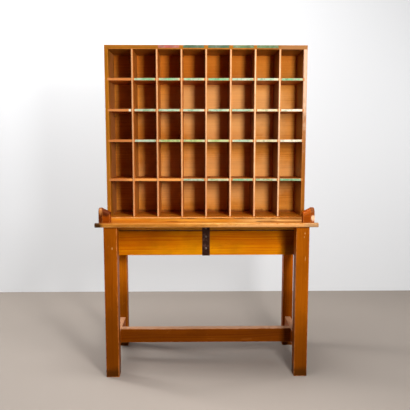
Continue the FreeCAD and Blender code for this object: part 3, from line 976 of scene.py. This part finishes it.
def add_strip(left, right, front, low, high, lift, tilt):
    sheet = bmesh.ops.create_grid(labels, x_segments=sheet_columns, y_segments=sheet_rows,
                                  size=sheet_half)["verts"]
    for vert in sheet:
        along, up = vert.co.x, vert.co.y
        free_end = max(0.0, along - lift_from) / lift_run
        vert.co = (left + (right - left) * (along + sheet_half), front - lift * free_end ** 2,
                   low + (high - low) * (up + sheet_half) + tilt * along)
    faces = list({face for vert in sheet for face in vert.link_faces})
    extruded = bmesh.ops.extrude_face_region(labels, geom=faces)["geom"]
    raised = [item for item in extruded if isinstance(item, bmesh.types.BMVert)]
    bmesh.ops.translate(labels, verts=raised, vec=(0, -paper_thick, 0))
    return [*sheet, *raised]


def tint_strip(verts, left, right, tint, left_paleness, right_paleness, fade):
    for vert in verts:
        along = (vert.co.x - left) / (right - left)
        paleness = left_paleness * max(0.0, 1 - along / pale_reach)
        paleness += right_paleness * max(0.0, 1 - (1 - along) / pale_reach)
        blend = [own + (pale - own) * paleness for own, pale in zip(tint, label_tints["c"])]
        blend[3] = fade
        for loop in vert.link_loops:
            loop[tint_layer] = blend


print("strip helpers ready")

# %% Label strips
end_gap, edge_gap, left_stray, right_stray = 0.002, 0.0008, 0.006, 0.004
tallest_label, scrap_length = 0.0130, 0.011
longest_lift, most_tilt = 0.0006, 0.0003
shaded_paleness, shaded_fade = 0.1, 0.25

for shelf_name, row_plan in label_plan.items():
    shelf_low, shelf_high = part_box(shelf_name)
    # Strips on the top board fade little and stay dark as painted shade.
    shaded_top_row = shelf_name == "cabinet_top"
    most_paleness, fade = (shaded_paleness, shaded_fade) if shaded_top_row else (1.0, 1.0)
    high = shelf_high[2] - edge_gap
    low = max(shelf_low[2] + edge_gap, high - tallest_label)
    for letter, left_board, right_board in zip(row_plan, uprights, uprights[1:]):
        if letter == ".":
            continue
        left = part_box(left_board)[1][0] + end_gap + placing.uniform(0, left_stray)
        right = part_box(right_board)[0][0] - end_gap - placing.uniform(0, right_stray)
        if letter == "s":
            left = right - scrap_length
        lift = placing.uniform(0, longest_lift)
        tilt = placing.uniform(-most_tilt, most_tilt)
        strip = add_strip(left, right, shelf_low[1], low, high, lift, tilt)
        left_paleness = placing.uniform(0.0, most_paleness)
        right_paleness = placing.uniform(0.0, most_paleness)
        tint_strip(strip, left, right, label_tints[letter], left_paleness, right_paleness, fade)
new_piece("paper_labels", labels, paper)

# %% [markdown]
# ## Floor, backdrop and light
#
# A pale floor and a paler backdrop keep the eye on the furniture. More light could make the backdrop
# pale, but it would spill over the timber, so a part of the paleness is the backdrop's own and shows only
# where the camera looks, straight or in a reflection. Seen from behind, the backdrop would stand in
# the way, so it is clear on its rear face. A small soft lamp at the right throws the shadows that show how
# deep the pigeonholes are. A lamp overhead brightens what faces up, one behind the cabinet lights the
# backdrop and the rear, and a weak one lights the right side from behind, where it can't reach into the
# pigeonholes. The world gives only a little even light, so that their shaded halves stay dark, but shows
# itself pale where the camera looks past the floor.


# %% What the camera looks at
def looked_at(tree):
    rays = add_node(tree, "ShaderNodeLightPath").outputs
    seen_or_mirrored = maths(tree, "MAXIMUM", rays["Is Camera Ray"], rays["Is Glossy Ray"])
    return maths(tree, "MAXIMUM", seen_or_mirrored, rays["Is Transmission Ray"])


print("view helper ready")

# %% Stage shape
floor_half, backdrop_half, backdrop_place = 7.0, 7.0, 1.30
stage = bmesh.new()
bmesh.ops.create_grid(stage, x_segments=1, y_segments=1, size=floor_half)
backdrop_verts = bmesh.ops.create_grid(stage, x_segments=1, y_segments=1, size=backdrop_half)["verts"]
bmesh.ops.rotate(stage, verts=backdrop_verts, cent=(0, 0, 0), matrix=Matrix.Rotation(math.pi / 2, 3, "X"))
bmesh.ops.translate(stage, verts=backdrop_verts, vec=(0, backdrop_place, backdrop_half))
stage_mesh = bpy.data.meshes.new("studio_stage")
stage.to_mesh(stage_mesh)
stage.free()
floor = bpy.data.objects.new("studio_stage", stage_mesh)
bpy.context.scene.collection.objects.link(floor)
print("stage:", len(stage_mesh.polygons), "faces")

# %% Stage surfaces
stage_roughness = 0.75
backdrop_paleness = 0.38
level_face = 0.99
white = (1.0, 1.0, 1.0, 1.0)


def stage_surface(name, colour):
    surface = bpy.data.materials.new(name)
    surface.use_nodes = True
    shader = surface.node_tree.nodes["Principled BSDF"]
    shader.inputs["Base Color"].default_value = colour
    shader.inputs["Roughness"].default_value = stage_roughness
    stage_mesh.materials.append(surface)
    return surface.node_tree, shader


stage_surface("pale_floor", screen_colour(146, 136, 127))
tree, shader = stage_surface("pale_backdrop", screen_colour(168, 169, 171))
shader.inputs["Emission Color"].default_value = white
own_paleness = maths(tree, "MULTIPLY", looked_at(tree), backdrop_paleness)
feed(tree, shader.inputs["Emission Strength"], own_paleness)
rear_face = add_node(tree, "ShaderNodeNewGeometry").outputs["Backfacing"]
feed(tree, shader.inputs["Alpha"], maths(tree, "SUBTRACT", 1.0, rear_face))
for face in stage_mesh.polygons:
    face.material_index = 0 if abs(face.normal.z) > level_face else 1
print("stage surfaces:", [surface.name for surface in stage_mesh.materials])


# %% Lamps
def soft_lamp(name, place, target, width, height, watts):
    lamp = bpy.data.lights.new(name, "AREA")
    lamp.shape = "RECTANGLE"
    lamp.size = width
    lamp.size_y = height
    lamp.energy = watts
    holder = bpy.data.objects.new(name, lamp)
    holder.location = place
    holder.rotation_euler = (Vector(target) - Vector(place)).to_track_quat("-Z", "Y").to_euler()
    holder.visible_camera = False
    bpy.context.scene.collection.objects.link(holder)
    print("lamp:", name, watts, "W")


soft_lamp("side_lamp", (0.64, -1.97, 1.42), (-1.0, 0.0, 1.34), 0.34, 0.70, 57)
soft_lamp("ceiling_lamp", (0.0, -0.62, 2.9), (0.0, -0.40, 0.8), 1.6, 0.9, 31)
soft_lamp("backdrop_lamp", (-1.5, 0.40, 3.0), (-1.1, 1.3, 0.3), 4.4, 0.3, 120)
soft_lamp("right_lamp", (2.3, 0.45, 1.5), (0.5, 0.1, 0.8), 0.5, 1.2, 11)

# %% World
even_light, seen_light = 0.012, 0.75
world = bpy.data.worlds.new("studio_world")
bpy.context.scene.world = world
world.use_nodes = True
tree = world.node_tree
background = tree.nodes["Background"]
background.inputs["Color"].default_value = white
feed(tree, background.inputs["Strength"], remap(tree, looked_at(tree), 0.0, 1.0, even_light, seen_light))
bpy.context.scene.view_settings.view_transform = "Standard"
print("world: even light", even_light, "and seen as", seen_light)
